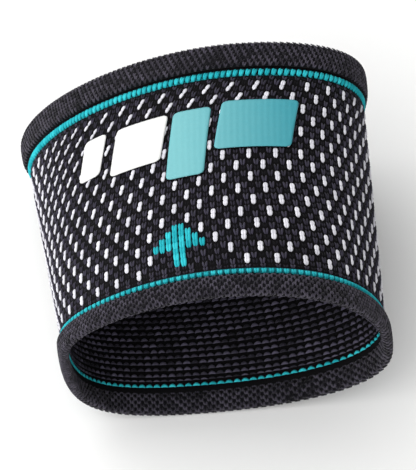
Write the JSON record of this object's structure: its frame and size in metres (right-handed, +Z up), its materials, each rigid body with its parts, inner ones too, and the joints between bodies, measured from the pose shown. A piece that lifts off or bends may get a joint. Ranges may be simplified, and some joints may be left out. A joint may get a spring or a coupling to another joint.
{
  "type": "arch support sleeve",
  "caption": "Knitted elastic sleeve for the middle of a left foot, with a folded hem and a teal stripe at each end, that hugs the arch to support it.",
  "frame": {"origin": "the middle of the foot channel, halfway along the sleeve, where the foot sits", "axes": "+Y runs along the foot to the toes, +Z is up through the instep, +X points to the big-toe side of the left foot"},
  "size_m": [0.1016, 0.0846, 0.0667],
  "materials": {
    "black_knit": "ribbed elastic knit of near-black nylon with white yarn dashes",
    "black_welt": "fine double-layer elastic knit, charcoal",
    "teal_yarn": "teal nylon yarn, slight sheen",
    "white_print": "soft heat-pressed film, satin",
    "teal_print": "soft heat-pressed film, satin"
  },
  "bodies": {
    "root": {"knit_panel": "black_knit", "toe_stripe": "teal_yarn", "ankle_stripe": "teal_yarn", "toe_welt": "black_welt", "ankle_welt": "black_welt", "print_white_narrow": "white_print", "print_white_wide": "white_print", "print_teal_tall": "teal_print", "print_teal_wide": "teal_print", "arrow_mark": "teal_yarn"}
  },
  "joints": []
}
